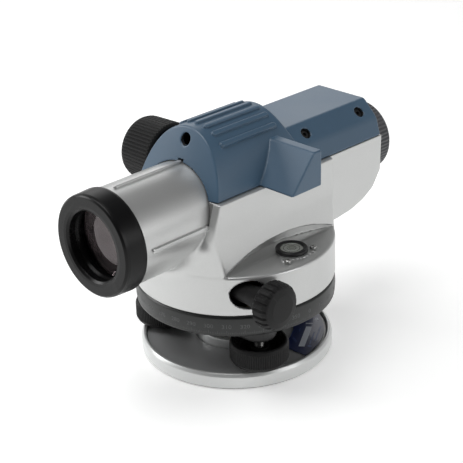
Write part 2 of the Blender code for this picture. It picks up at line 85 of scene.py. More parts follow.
# the upper cover: its elliptical barrel, which ends in a bowed front face, its screws and sight hole
BARREL_Z, BARREL_OUTER, BARREL_INNER = 98.0, (31.5, 44.4), (28.9, 41.8)
COVER_Y, COVER_LEAN, COVER_BOW, COVER_BACK_Y = -41.4, 0.39, 3.2, 19.2
SCREW_X, SCREW_Z, SCREW_YS = 22.4, 124.8, (35.7, 81.0)
SIGHT_HOLE_Z, SIGHT_HOLE_R = 135.8, 3.3
ON_SIGHT, ON_DRIVE, ON_FOCUS = (0, 0, SIGHT_Z), (0, DRIVE_Y, DRIVE_Z), (0, FOCUS_Y, FOCUS_Z)
FEET = [middle(f"foot_spindle_{n}") for n in (1, 2, 3)]
BUBBLE = middle("bubble_ring")


# ---------------------------------------- materials
class Nodes:
    """A short way to put shader nodes together, for a material or the world."""

    def __init__(self, name, kinds=bpy.data.materials, shader="Principled BSDF", coord="Object"):
        self.made = kinds.new(name)
        self.made.use_nodes = True
        self.tree = self.made.node_tree
        self.shader = self.tree.nodes[shader]
        self.coord = self.add("ShaderNodeTexCoord").outputs[coord]

    def fill(self, node, values):
        """Links or sets the inputs of a node."""
        for key, value in values.items():
            if isinstance(value, bpy.types.NodeSocket):
                self.tree.links.new(value, node.inputs[key])
            else:
                node.inputs[key].default_value = value
        return node

    def add(self, kind, values=None, **settings):
        node = self.tree.nodes.new(kind)
        for key, value in settings.items():
            setattr(node, key, value)
        return self.fill(node, values or {})

    def noise(self, scale, detail=2.0, rough=0.5):
        values = {"Scale": scale, "Detail": detail, "Roughness": rough, "Vector": self.coord}
        return self.add("ShaderNodeTexNoise", values).outputs["Fac"]

    def spread(self, value, low, high, start=0.3, end=0.7):
        """A value from start to end made to run from low to high."""
        values = {"Value": value, "From Min": start, "From Max": end, "To Min": low, "To Max": high}
        return self.add("ShaderNodeMapRange", values).outputs["Result"]

    def mix(self, factor, first, second):
        """Two colours mixed by a factor; the sockets are numbered because their names repeat."""
        colours = [c if isinstance(c, bpy.types.NodeSocket) else (*c, 1.0) for c in (first, second)]
        values = {0: factor, 6: colours[0], 7: colours[1]}
        return self.add("ShaderNodeMix", values, data_type="RGBA").outputs[2]

    def math(self, kind, first, second):
        return self.add("ShaderNodeMath", {0: first, 1: second}, operation=kind).outputs[0]

    def bump(self, height, strength, distance, **under):
        values = {"Height": height, "Strength": strength, "Distance": distance, **under}
        return self.add("ShaderNodeBump", values).outputs["Normal"]

    def put(self, **sockets):
        """Fills the shader's own sockets, where a tuple is a colour."""
        for key, value in sockets.items():
            value = (*value, 1.0) if isinstance(value, tuple) else value
            self.fill(self.shader, {key.replace("_", " "): value})
        return self.made


def scaled(colour, by):
    return tuple(min(1.0, c * by) for c in colour)


def finish_of(name, colour, rough, metal=0.0, vary=0.08, blotch=26.0, grain=2200.0, bump=0.12,
              depth=0.00003, wear=0.0, painted_crevice_shade=0.0, **more):
    """A finish with slow colour variation, fine grain, worn edges, painted shade in its creases,
    roughness and bump.
    """
    n = Nodes(name)
    slow = n.noise(blotch, 4.0, 0.6)
    fine = n.noise(grain, 2.0)
    tone = n.mix(n.spread(slow, 0.0, 1.0), scaled(colour, 1.0 - vary), scaled(colour, 1.0 + vary))
    tone = n.mix(n.spread(fine, 0.0, 0.5), tone, scaled(colour, 1.0 - vary * 0.6))
    if wear or painted_crevice_shade:
        edge = n.add("ShaderNodeNewGeometry").outputs["Pointiness"]
        if wear:
            worn = n.math("MULTIPLY", n.spread(edge, 0.0, wear, 0.52, 0.6), n.spread(slow, 0.3, 1.0))
            tone = n.mix(worn, tone, tuple(c * 0.5 + 0.25 for c in colour))
        # painted shade: creases and hollows darkened towards a third of the colour
        if painted_crevice_shade:
            tone = n.mix(n.spread(edge, painted_crevice_shade, 0.0, 0.4, 0.48), tone, scaled(colour, 0.35))
    gloss = n.spread(n.math("ADD", n.math("MULTIPLY", slow, 0.7), n.math("MULTIPLY", fine, 0.3)),
                     rough - 0.05, rough + 0.05)
    normal = n.bump(fine, bump, depth)
    return n.put(Base_Color=tone, Roughness=gloss, Metallic=metal, Normal=normal, **more)


def silver_paint(name, colour, rough, metal):
    """Metallic paint: tiny bright flakes over the faint skin of a casting, with painted shade darkening
    its corners.
    """
    n = Nodes(name)
    slow = n.noise(22.0, 3.0, 0.55)
    cast = n.noise(420.0, 3.0, 0.5)
    flakes = n.add("ShaderNodeTexVoronoi", {"Scale": 3600.0, "Vector": n.coord}, feature="F1")
    spark = n.add("ShaderNodeSeparateColor", {"Color": flakes.outputs["Color"]}).outputs[0]
    tone = n.mix(n.spread(slow, 0.0, 1.0), scaled(colour, 0.965), scaled(colour, 1.03))
    tone = n.mix(n.spread(spark, 0.0, 0.4, 0.2, 1.0), tone, scaled(colour, 1.10))
    edge = n.add("ShaderNodeNewGeometry").outputs["Pointiness"]
    # painted shade: hollows and corners darkened towards half the colour
    tone = n.mix(n.spread(edge, 0.45, 0.0, 0.36, 0.45), tone, scaled(colour, 0.5))
    gloss = n.spread(n.math("ADD", n.math("MULTIPLY", slow, 0.85), n.math("MULTIPLY", spark, 0.15)),
                     rough - 0.03, rough + 0.05)
    normal = n.bump(spark, 0.004, 0.00001, Normal=n.bump(cast, 0.010, 0.00004))
    return n.put(Base_Color=tone, Roughness=gloss, Metallic=metal, Normal=normal)


def turned(name, colour, rough, pitch):
    """Turned metal: fine rings round the standing axis, with a little tarnish."""
    n = Nodes(name)
    rings = n.add("ShaderNodeTexWave", {"Scale": 1.0 / pitch, "Distortion": 0.6, "Detail": 2.0,
                                        "Vector": n.coord}, wave_type="RINGS", rings_direction="Z")
    stain = n.noise(60.0, 5.0, 0.62)
    tone = n.mix(n.spread(stain, 0.0, 1.0), scaled(colour, 0.84), scaled(colour, 1.05))
    tone = n.mix(n.spread(rings.outputs["Fac"], 0.0, 0.25, 0.0, 1.0), tone, scaled(colour, 0.8))
    gloss = n.spread(stain, rough - 0.05, rough + 0.09)
    normal = n.bump(rings.outputs["Fac"], 0.1, 0.00003)
    return n.put(Base_Color=tone, Roughness=gloss, Metallic=1.0, Normal=normal)


def glass_of(name, colour, rough=0.0, **more):
    """Clear or coated glass, with faint smears in its roughness."""
    n = Nodes(name)
    smear = n.noise(90.0, 4.0, 0.6)
    tone = n.mix(n.spread(smear, 0.0, 1.0), scaled(colour, 0.96), colour)
    normal = n.bump(smear, 0.0006, 0.00001)
    return n.put(Base_Color=tone, Roughness=n.spread(smear, rough, rough + 0.012), Normal=normal, **more)


SILVER = silver_paint("silver_paint_fine", (0.57, 0.575, 0.57), 0.33, 0.7)
BASE = silver_paint("silver_paint_base", (0.72, 0.73, 0.725), 0.32, 0.5)
# the blue paint carries painted shade in its creases, between the ribs and in its corners
BLUE = finish_of("blue_paint_fine", (0.052, 0.104, 0.165), 0.38, vary=0.06, blotch=20.0, grain=1500.0,
                 bump=0.16, depth=0.00005, painted_crevice_shade=0.35, Specular_IOR_Level=0.55, Coat_Weight=0.1,
                 Coat_Roughness=0.3)
BLACK = finish_of("black_satin_plastic", (0.008, 0.008, 0.0085), 0.42, vary=0.18, grain=1700.0, bump=0.25,
                  depth=0.00006, wear=0.06)
RING = finish_of("black_ring_paint", (0.005, 0.005, 0.0053), 0.29, vary=0.2, grain=2400.0, bump=0.14,
                 wear=0.03, Specular_IOR_Level=0.2)
CIRCLE = finish_of("dark_circle_paint", (0.012, 0.0135, 0.013), 0.38, vary=0.16, grain=1900.0, bump=0.14)
KNOB = finish_of("black_grip_rubber", (0.008, 0.008, 0.0083), 0.52, vary=0.22, grain=1300.0, bump=0.3,
                 depth=0.00006, wear=0.05, Specular_IOR_Level=0.22)
GREY = finish_of("grey_rubber_fine", (0.075, 0.075, 0.082), 0.60, vary=0.15, grain=1300.0, bump=0.3,
                 depth=0.00008, wear=0.2, Sheen_Weight=0.2, Sheen_Roughness=0.5)
MATT = finish_of("matt_black_inside", (0.010, 0.010, 0.011), 0.75, vary=0.3, grain=900.0, bump=0.3)
CAST = finish_of("raw_casting", (0.22, 0.22, 0.215), 0.55, 0.7, vary=0.15, blotch=60.0, grain=700.0,
                 bump=0.4, depth=0.0001)
PLATE = finish_of("dark_spring_plate", (0.40, 0.405, 0.41), 0.36, 0.2, vary=0.08, blotch=18.0,
                  grain=2600.0, bump=0.08)
NAVY = finish_of("label_film_navy", (0.012, 0.024, 0.10), 0.32, vary=0.15, grain=1600.0, bump=0.06,
                 Coat_Weight=0.3)
WHITE = finish_of("label_film_white", (0.62, 0.66, 0.74), 0.36, vary=0.06, grain=1600.0, bump=0.06)
PALE_BLUE = finish_of("label_film_blue", (0.06, 0.10, 0.27), 0.36, vary=0.1, grain=1600.0, bump=0.06)
MARKS = finish_of("scale_marking_paint", (0.10, 0.104, 0.104), 0.6, vary=0.25, blotch=300.0, grain=2600.0,
                  bump=0.2)
# a darker copy of the turned steel, for the foot spindles inside the knobs
DIM_STEEL = turned("darker_turned_steel", (0.22, 0.22, 0.215), 0.32, 0.0006)
STEEL = turned("turned_steel", (0.58, 0.58, 0.57), 0.24, 0.0006)
BRASS = turned("turned_brass", (0.62, 0.46, 0.21), 0.28, 0.0005)
DARK = finish_of("dark_anodised_frame", (0.05, 0.052, 0.056), 0.42, 0.8, vary=0.12, grain=2000.0,
                 bump=0.1)
LENS = glass_of("coated_lens_glass", (0.46, 0.43, 0.44), Transmission_Weight=1.0, IOR=1.5,
                Specular_IOR_Level=0.12, Specular_Tint=(1.0, 0.84, 0.86))
CLEAR = glass_of("prism_glass", (0.93, 0.96, 0.96), Transmission_Weight=1.0, IOR=1.52)
VIAL = glass_of("vial_liquid", (0.93, 0.95, 0.90), Transmission_Weight=0.9, IOR=1.38,
                Specular_IOR_Level=0.6)
BUBBLE_AIR = glass_of("vial_bubble", (0.96, 0.98, 0.93), Transmission_Weight=0.6, IOR=1.2)
DISC = finish_of("vial_floor", (0.80, 0.82, 0.80), 0.3, vary=0.05, grain=2000.0, bump=0.05)
MIRROR = glass_of("mirror_silvering", (0.86, 0.87, 0.88), 0.02, Metallic=1.0)

CAD_FINISH = {
    "silver_paint": SILVER, "blue_paint": BLUE, "black_plastic": BLACK, "grey_rubber": GREY,
    "dark_plate": DARK, "steel": STEEL, "brass": BRASS, "glass": CLEAR, "vial": VIAL,
    "mirror": MIRROR, "label": NAVY,
}
for name, node in frame["nodes"].items():
    node.data.materials.clear()
    node.data.materials.append(CAD_FINISH[SLOTS[name]])


# ---------------------------------------- meshes
def linked(name, data):
    """A new object that holds the data, put into the scene."""
    made = bpy.data.objects.new(name, data)
    bpy.context.scene.collection.objects.link(made)
    return made


def place_of(axis, at):
    """Turns a shape made round +Z, as the CAD does. "F" points it forward to -Y and "B" back to +Y."""
    turn = {
        "Z": Matrix.Identity(3),
        "X": Matrix(((0, 0, 1), (1, 0, 0), (0, 1, 0))),
        "F": Matrix(((1, 0, 0), (0, 0, -1), (0, 1, 0))),
        "B": Matrix(((1, 0, 0), (0, 0, 1), (0, -1, 0))),
    }[axis]
    return Matrix.Translation(Vector(at)) @ turn.to_4x4()


def add_piece(name, points, faces, finish, body, replaced=(), slot=None, place=None, normals=None,
              pick=None, sharp=None):
    """A mesh piece from millimetres that rides on a body and stands for the CAD nodes named."""
    points = np.asarray(points, float)
    if place is not None:
        turn = np.array(place)
        points = points @ turn[:3, :3].T + turn[:3, 3]
    mesh = bpy.data.meshes.new(name)
    mesh.from_pydata((points * MM).tolist(), [], faces)
    mesh.validate()
    mesh.update()
    finishes = finish if isinstance(finish, (list, tuple)) else [finish]
    for entry in finishes:
        mesh.materials.append(entry)
    if pick is not None:
        chosen = pick(*(read(mesh.polygons, "center", 3) / MM).T, read(mesh.polygons, "normal", 3))
        mesh.polygons.foreach_set("material_index", chosen.astype(np.int32))
    mesh.shade_smooth()
    if sharp is not None:
        mesh.set_sharp_from_angle(angle=math.radians(sharp))
    if normals is None and sharp is None:
        normals = area_normals(mesh)
    if normals is not None:
        mesh.normals_split_custom_set_from_vertices(normals.tolist())
    made = linked(name, mesh)
    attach(made, body)
    if replaced:
        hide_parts(*replaced)
    return made


def read(items, key, width=1, kind=float):
    """A property of every face or corner of a mesh, with a row for each."""
    values = np.zeros(len(items) * width, kind)
    items.foreach_get(key, values)
    return values.reshape(-1, width)


def area_normals(mesh):
    """Vertex normals weighted by face area, so flat faces stay flat beside their rounded edges."""
    weighted = read(mesh.polygons, "normal", 3) * read(mesh.polygons, "area")
    weighted = np.repeat(weighted, read(mesh.polygons, "loop_total", kind=int)[:, 0], axis=0)
    corner = read(mesh.loops, "vertex_index", kind=int)[:, 0]
    normals = [np.bincount(corner, weighted[:, k], len(mesh.vertices)) for k in range(3)]
    normals = np.stack(normals, 1)
    length = np.linalg.norm(normals, axis=1, keepdims=True)
    return normals / np.maximum(length, 1e-20)


def sides(loop):
    """Each point of a closed outline with the next one."""
    return zip(loop, loop[1:] + loop[:1])


def anticlockwise(loop):
    area = sum(a[0] * b[1] - b[0] * a[1] for a, b in sides(loop))
    return loop if area > 0 else loop[::-1]


def ring_of(x, y, radius, count):
    """Points evenly round a circle."""
    turns = (2 * math.pi * i / count for i in range(count))
    return [(x + radius * math.cos(t), y + radius * math.sin(t)) for t in turns]


def prism(count):
    """The faces of a prism, from its lower ring of points and then its upper one."""
    ends = [tuple(range(count))[::-1], tuple(range(count, 2 * count))]
    return ends + [(i, (i + 1) % count, count + (i + 1) % count, count + i) for i in range(count)]


def soft(points, radius=0.5, steps=4):
    """A closed outline with its corners rounded. A point may give its own radius as a third number."""
    outline = []
    count = len(points)
    for i, point in enumerate(points):
        p, a, b = (Vector(points[k % count][:2]) for k in (i, i - 1, i + 1))
        r = point[2] if len(point) > 2 else radius
        to_a, to_b = a - p, b - p
        angle = to_a.angle(to_b, math.pi) if to_a.length and to_b.length else math.pi
        if r <= 0 or p.x < 1e-6 or angle > math.radians(176):
            outline.append((p.x, p.y))
            continue
        reach = min(r / math.tan(angle / 2), 0.46 * to_a.length, 0.46 * to_b.length)
        real = reach * math.tan(angle / 2)
        centre = p + (to_a.normalized() + to_b.normalized()).normalized() * (real / math.sin(angle / 2))
        first = p + to_a.normalized() * reach - centre
        last = p + to_b.normalized() * reach - centre
        start = math.atan2(first.y, first.x)
        turn = (math.atan2(last.y, last.x) - start + math.pi) % (2 * math.pi) - math.pi
        for k in range(steps + 1):
            t = start + turn * k / steps
            outline.append((centre.x + real * math.cos(t), centre.y + real * math.sin(t)))
    return outline


def dense(outline, step, least):
    """An outline with its long sides beyond a radius divided, so that a grip can be shaped on them."""
    made = []
    for (r0, h0), (r1, h1) in sides(outline):
        length = math.hypot(r1 - r0, h1 - h0)
        parts = max(1, math.ceil(length / step)) if min(r0, r1) > least else 1
        made += [(r0 + (r1 - r0) * k / parts, h0 + (h1 - h0) * k / parts) for k in range(parts)]
    return made


def ease(value, low, high):
    t = np.clip((value - low) / (high - low), 0.0, 1.0)
    return t * t * (3 - 2 * t)


def ribs(count, depth, low, high, least, share=0.5, fade=0.8, hardness=1.0):
    """A grip of grooves along the axis. share is how much of each pitch is groove."""

    def shape(radius, height, turn):
        wave = 0.5 - 0.5 * np.cos(count * turn)
        groove = ease(wave, 1.0 - share - 0.3 / hardness, 1.0 - share + 0.3 / hardness)
        window = ease(height, low, low + fade) * (1 - ease(height, high - fade, high))
        return -depth * groove * window * (radius > least)

    return shape


def revolve(name, outline, finish, body, axis="Z", at=(0, 0, 0), segments=96, grip=None, **more):
    """A closed outline of (radius, height) turned round an axis, with an optional grip cut in it."""
    turn = 2 * math.pi * np.arange(segments) / segments
    points, rings = [], []
    for r, h in anticlockwise(outline):
        if r < 1e-6:
            rings.append([len(points)] * segments)
            points.append((0.0, 0.0, h))
            continue
        radius, level = np.full(segments, float(r)), np.full(segments, float(h))
        if grip is not None:
            radius = radius + grip(radius, level, turn)
        rings.append(list(range(len(points), len(points) + segments)))
        points += np.stack([radius * np.cos(turn), radius * np.sin(turn), level], 1).tolist()
    faces = []
    for low, high in sides(rings):
        if low[0] == low[1] and high[0] == high[1]:
            continue
        for i in range(segments):
            j = (i + 1) % segments
            quad = [low[i], low[j], high[j], high[i]]
            faces.append([c for k, c in enumerate(quad) if c not in quad[:k]])
    return add_piece(name, points, faces, finish, body, place=place_of(axis, at), **more)


def bored(made, holes):
    """Cuts round holes in a piece: each is (x, y, radius, low, high), along Z."""
    guides = []
    for x, y, radius, low, high in holes:
        mesh = bpy.data.meshes.new("guide")
        points = [(u * MM, v * MM, h * MM) for h in (low, high) for u, v in ring_of(x, y, radius, 48)]
        mesh.from_pydata(points, [], prism(48))
        guide = linked("guide", mesh)
        step = made.modifiers.new("bore", "BOOLEAN")
        step.operation, step.solver, step.object = "DIFFERENCE", "EXACT", guide
        guides.append(guide)
    ready = made.evaluated_get(bpy.context.evaluated_depsgraph_get())
    mesh = bpy.data.meshes.new_from_object(ready)
    made.modifiers.clear()
    made.data = mesh
    mesh.shade_smooth()
    mesh.set_sharp_from_angle(angle=math.radians(35))
    for guide in guides:
        bpy.data.objects.remove(guide)
    return made


# ---------------------------------------- solid fields and their skins
def both(a, b, k=0.9):
    """Where two fields overlap, with the edge between them rounded. k is about 1.2 times the radius."""
    near = np.maximum(k - np.abs(a - b), 0.0) / k
    return np.maximum(a, b) + near * near * k / 4


def within(*fields):
    """Where fields overlap, with sharp edges."""
    return np.maximum.reduce(fields)


def either(a, b, k=0.9):
    return -both(-a, -b, k)


def less(a, b, k=0.9):
    return both(a, -b, k)


def inside_of(u, v, corners, k=0.6):
    """The field of a convex outline, whichever way round it is given."""
    found = None
    for (u0, v0), (u1, v1) in sides(anticlockwise(corners)):
        length = math.hypot(u1 - u0, v1 - v0)
        side = ((u - u0) * (v1 - v0) - (v - v0) * (u1 - u0)) / length
        found = side if found is None else both(found, side, k)
    return found


def skin(name, field, low, high, step, finish, body, **more):
    """The surface where a field is zero, as quads drawn onto it, with the field's own normals."""
    axes = [np.arange(low[i] - 2 * step, high[i] + 2.5 * step, step) for i in range(3)]
    values = field(*np.meshgrid(*axes, indexing="ij"))
    solid = values < 0
    corners = [(i, j, k) for i in (0, 1) for j in (0, 1) for k in (0, 1)]
    shape = tuple(n - 1 for n in values.shape)

    def part(grid, corner):
        return grid[tuple(slice(c, c + n) for c, n in zip(corner, shape))]

    count = sum(part(solid, c).astype(np.int8) for c in corners)
    cells = np.argwhere((count > 0) & (count < 8))
    index = np.full(shape, -1)
    index[tuple(cells.T)] = np.arange(len(cells))
    total, hits = np.zeros((len(cells), 3)), np.zeros(len(cells))
    for a in corners:
        for axis in range(3):
            if a[axis]:
                continue
            b = tuple(1 if i == axis else a[i] for i in range(3))
            va, vb = (values[tuple((cells + c).T)] for c in (a, b))
            crossed = (va < 0) != (vb < 0)
            t = np.where(crossed, va / np.where(crossed, va - vb, 1.0), 0.0)
            where = np.array(a, float) + t[:, None] * np.eye(3)[axis]
            total += where * crossed[:, None]
            hits += crossed
    points = np.array([axis[0] for axis in axes]) + (cells + total / hits[:, None]) * step

    quads = []
    for axis in range(3):
        u, v = [i for i in range(3) if i != axis]
        ahead = np.moveaxis(solid, axis, 0)
        change = np.argwhere(ahead[:-1] != ahead[1:])
        at = np.zeros_like(change)
        at[:, axis], at[:, u], at[:, v] = change.T
        at = at[(at[:, u] > 0) & (at[:, v] > 0) & (at[:, u] < shape[u]) & (at[:, v] < shape[v])]
        ring = []
        for du, dv in ((-1, -1), (0, -1), (0, 0), (-1, 0)):
            cell = at.copy()
            cell[:, u] += du
            cell[:, v] += dv
            ring.append(index[tuple(cell.T)])
        ring = np.stack(ring, 1)
        flip = solid[tuple(at.T)] == (axis == 1)
        ring[flip] = ring[flip][:, ::-1]
        quads.append(ring)
    quads = np.concatenate(quads)

    def slope(p):
        h = 0.04
        return np.stack([
            (field(*(p + h * e).T) - field(*(p - h * e).T)) / (2 * h) for e in np.eye(3)], 1)

    for _ in range(4):
        g = slope(points)
        move = (field(*points.T) / np.maximum((g * g).sum(1), 0.25))[:, None] * g
        points -= np.clip(move, -0.4 * step, 0.4 * step)
    normals = slope(points)
    normals /= np.maximum(np.linalg.norm(normals, axis=1, keepdims=True), 1e-9)
    return add_piece(name, points, quads.tolist(), finish, body, normals=normals, **more)


def leaning(y, z):
    """The field of the front face, which leans back as it rises."""
    return (FRONT_Y + FRONT_LEAN * (z - SIGHT_Z) - y) / math.hypot(1, FRONT_LEAN)


def housing_field(x, y, z):
    """A round skirt that rises into flat flanks, with a tail under the eyepiece."""
    wide, out = np.abs(x), np.hypot(x, y)
    tube = np.hypot(x, z - SIGHT_Z)
    body = both(out - SKIRT_R, leaning(y, z), 2.2)
    flare = (wide - FLANK + 0.185 * (z - 90.0)) / math.hypot(1, 0.185)
    upper = both(both(body, y - 47.0, 1.2), either(wide - FLANK, flare, 0.7), 1.1)
    lower = both(body, z - LEDGE_Z, 2.2)
    made = either(upper, lower, 0.7)
    tail = [(30, 69.0), (52.3, 68.6), (66.2, 70.1), (77.0, 73.4), (85.7, 78.3), (92.4, 88.0),
            (TAIL_Y, SPLIT_Z + 4), (30, SPLIT_Z + 4)]
    made = either(made, both(wide - 30.2, inside_of(y, z, tail, 0.5), 1.6), 0.8)
    # the hollow over the ledge, under the mirror: two arcs over the same chord
    half, wall_x, depth, rise = 44.0, 26.3, 10.4, 9.0
    bow, arch = ((half ** 2 + d ** 2) / (2 * d) for d in (depth, rise))
    hollow = within(np.hypot(x - wall_x - bow, y) - bow, np.hypot(y, z - LEDGE_Z - rise + arch) - arch,
                    LEDGE_Z - z)
    made = less(made, hollow, 0.8)
    pad = [(24.5, 5.8), (46.4, -9.6), (51.6, 3.0), (48.1, 16.8), (24.5, 12.7)]
    pad = within(inside_of(x, y, pad), z - LEDGE_Z - 0.27, LEDGE_Z - 2 - z)
    made = either(made, pad, 0.25)
    # the root of the telescope tube, which runs into the front face in a soft hollow
    fade = 0.06 * ease(y, -59.0, -51.0) - 0.03
    root = within(tube - TUBE_R - fade, np.abs(y - FRONT_Y) - 13.0, z - SIGHT_Z)
    made = either(made, root, 0.3 + 9.0 * ease(SIGHT_Z - z, 3.0, 15.0))
    bore = np.where(z > SIGHT_Z - 0.4, TUBE_R + 0.35, TUBE_R - 2.45)
    made = within(made, -within(tube - bore, np.abs(y + 52.0) - 20.0))
    # inside
    room = np.minimum(wide - 23.4, ((wide - 23.4) * 6 - (z - 80) * 6.8) / 9.07)
    side = [(-46.4, 72), (-46.4, 86), (-38.6, SPLIT_Z + 4), (90.2, SPLIT_Z + 4), (89.6, 89.2),
            (83.4, 80.8), (75.8, 76.2), (66.0, 73.0), (55.0, 71.9)]
    room = within(wide - 28.2, room, inside_of(y, z, side, 0.2), 72.4 - z)
    made = within(made, -room, -within(out - 53.8, z - 66.9))
    made = less(made, within(np.hypot(y - DRIVE_Y, z - DRIVE_Z) - 8.2, 24.0 - wide), 0.6)
    made = less(made, within(tube - 15.5, 80.0 - y), 0.8)
    made = less(made, within(np.hypot(y - FOCUS_Y, z - FOCUS_Z) - 3.6, x + 20.0), 0.6)
    made = both(made, z - SPLIT_Z, 0.5)
    return both(made, SKIRT_LOW - z, 1.2)


def housing_pick(x, y, z, normal):
    """Paint outside, bare casting inside, and matt black in the telescope's bore."""
    below = (z < 67.2) & (np.hypot(x, y) < 53.95)
    room = (z > 71.5) & (y > -46.2) & (y < 90.4) & (z < SPLIT_Z - 0.1)
    room &= np.abs(x) < np.clip(23.8 + 1.14 * (z - 80.0), 23.8, 28.4)
    room &= ~((normal[:, 2] < -0.2) & (z < 89.2) & (y > 47))
    bore = (np.hypot(x, z - SIGHT_Z) < TUBE_R - 1.8) & (y < -30) & (y > -80)
    return np.where(bore, 2, np.where(below | room, 1, 0))


skin("lower_housing_shell", housing_field, (-57.2, -59.4, 46.6), (57.2, 93.2, SPLIT_Z), 0.8,
     [SILVER, CAST, MATT], "alidade", replaced=("lower_housing",), pick=housing_pick)


def cover_front(x, y, z, inset=0.0):
    """The field of the cover's own front face, which leans back a little more and bows forward."""
    bow = COVER_BOW * np.maximum(0.0, 1 - (x / 30.0) ** 2)
    return (COVER_Y - bow + inset + COVER_LEAN * (z - SPLIT_Z) - y) / math.hypot(1, COVER_LEAN)


def barrel_field(x, z, half_axes):
    """The field of an ellipse round the barrel's axis."""
    a, b = half_axes
    k = np.hypot(x / a, (z - BARREL_Z) / b)
    return k * (k - 1) / np.maximum(np.hypot(x / a ** 2, (z - BARREL_Z) / b ** 2), 1e-6)


def screw_places(x, y, z):
    """For each pair of cover screws, the distance out along their axis and the distance from it."""
    right, up = (np.abs(x) - SCREW_X) / math.sqrt(2), (z - SCREW_Z) / math.sqrt(2)
    return [(right + up, np.hypot(right - up, y - at)) for at in SCREW_YS]


def cover_field(x, y, z):
    """A ribbed barrel in front, a block over the eyepiece and the mirror's hood at one side."""
    foot = span("upper_cover")[0].z
    back = y - COVER_BACK_Y
    back = either(back, (back - 0.5 * (134.5 - z)) / math.hypot(1, 0.5), 7.0)
    made = both(both(barrel_field(x, z, BARREL_OUTER), back, 2.4), cover_front(x, y, z), 0.9)
    block = [(-27.2, 120.0), (-17.5, 129.6), (17.5, 129.6), (27.2, 120.0), (31.96, 104.0),
             (-31.96, 104.0)]
    block = inside_of(x, z, block, 1.0)
    block = both(both(block, y - 91.5, 1.2), 6.0 - y, 0.5)
    made = either(made, block, 0.9)
    a, b = BARREL_OUTER
    for i in range(-3, 4):
        u = 6.0 * i
        w = BARREL_Z + b * math.sqrt(1 - (u / a) ** 2)
        run = np.maximum(np.abs(y + 5.5) - 19.4, 0.0)
        lean = Vector((u / a ** 2, (w - BARREL_Z) / b ** 2)).normalized()
        across = (x - u) * lean.y - (z - w) * lean.x
        lift = (x - u) * lean.x + (z - w) * lean.y
        rib = both(both(np.hypot(across, run) - 1.6, lift - 1.3, 1.0), -1.5 - lift, 0.1)
        made = either(made, rib, 0.15)
    side = [(-16.6, foot - 7.8), (7.0, 130.0), (13.0, 130.0), (13.0, foot - 7.8)]
    hood = both(inside_of(y, z, side, 0.9), within(x - 54.0, 20.0 - x), 1.1)
    made = either(made, hood, 0.6)
    made = both(made, foot - z, 0.5)
    # inside
    inner = within(barrel_field(x, z, BARREL_INNER), back + 2.6, cover_front(x, y, z, 2.7))
    room = [(-28.5, 104), (-27.4, 106), (-24.9, 118.8), (-16.4, 127.0),
            (16.4, 127.0), (24.9, 118.8), (27.4, 106), (28.5, 104)]
    room = within(inside_of(x, z, room, 0.2), 10.0 - y, y - 89.0)
    made = within(made, -np.minimum(inner, room))
    space = [(-6.4, 111.1), (7.4, 127.4), (16.0, 127.4), (16.0, 105.0), (-11.6, 105.0)]
    made = less(made, within(inside_of(y, z, space, 0.2), 34.0 - x, x - 51.6), 0.7)
    tube = np.hypot(x, z - SIGHT_Z)
    made = less(made, within(tube - TUBE_R - 0.35, np.abs(y + 52.0) - 20.0), 0.6)
    made = less(made, within(tube - 15.5, 80.0 - y), 0.6)
    made = less(made, within(np.abs(x) - 1.9, np.abs(z - 121.6) - 4.3, y + 30.0), 0.4)
    made = less(made, within(np.hypot(x, z - SIGHT_HOLE_Z) - SIGHT_HOLE_R, y + 20.0), 0.7)
    for along, across in screw_places(x, y, z):
        made = less(made, within(across - 3.2, -9.0 - along), 0.6)
    return made


def cover_pick(x, y, z, normal):
    """The inside of the cover is matt black; the walls of its sight hole and screw holes and the space
    under the mirror's hood get painted shade in matt black.
    """
    inner = (barrel_field(x, z, BARREL_INNER) < 0.4) & (y > FRONT_Y) & (y < 19) & (x < 30)
    inner &= cover_front(x, y, z) < -2.6
    # painted shade: the sight hole, the screw holes and the space under the hood are matt black so that
    # they read dark
    sight = (np.hypot(x, z - SIGHT_HOLE_Z) < SIGHT_HOLE_R + 0.06) & (y < -25)
    holes = np.minimum(*(across for _, across in screw_places(x, y, z))) < 3.25
    space = (x > 33.8) & (x < 51.8) & (y > -9) & (y < 12.9) & (z < 127.5) & (normal[:, 2] < 0.3)
    space &= (normal[:, 1] > -0.5) & (z > 110.2)
    # the room under the block, at least 1.2 mm in from both of its slopes
    room = (np.abs(x) < 27.6) & (z < 127.1) & (y > 18) & (y < 89.3)
    out, up = np.abs(x) - 27.2, z - 120.0
    room &= (out * 9.6 + up * 9.7 < -1.2 * 13.65) & (out * 10.4 + up * 3.0 < -1.2 * 10.8)
    return np.where(inner | room | sight | holes | space, 1, 0)


skin("upper_cover_shell", cover_field, (-32.2, -44.0, 109.6), (54.2, 91.7, 144.8), 0.7,
     [BLUE, MATT], "alidade", replaced=("upper_cover",), pick=cover_pick)

# ---------------------------------------- telescope
tube_front, tube_back = -span("telescope_tube")[0].y, 33.0
revolve("telescope_tube_shell", soft([
    (24.6, tube_back), (TUBE_R, tube_back), (TUBE_R, tube_front, 0.4), (24.6, tube_front)], 0.3),
    [SILVER, MATT], "alidade", "F", ON_SIGHT, 160, replaced=("telescope_tube",),
    pick=lambda x, y, z, n: np.where(np.hypot(x, z - SIGHT_Z) < 24.9, 1, 0))


def rib_field(angle, end):
    """A slim rib along the tube with rounded ends, rising to a soft crest."""
    c, s = math.cos(math.radians(angle)), math.sin(math.radians(angle))
    start = -84.5

    def field(x, y, z):
        out = x * c + (z - SIGHT_Z) * s
        across = -x * s + (z - SIGHT_Z) * c
        run = np.maximum(np.abs(y - (end + start) / 2) - (end - start) / 2 + 1.1, 0.0)
        return both(both(np.hypot(across, run) - 1.35, out - TUBE_R - 1.4, 0.7), TUBE_R - 1.2 - out, 0.2)

    return field


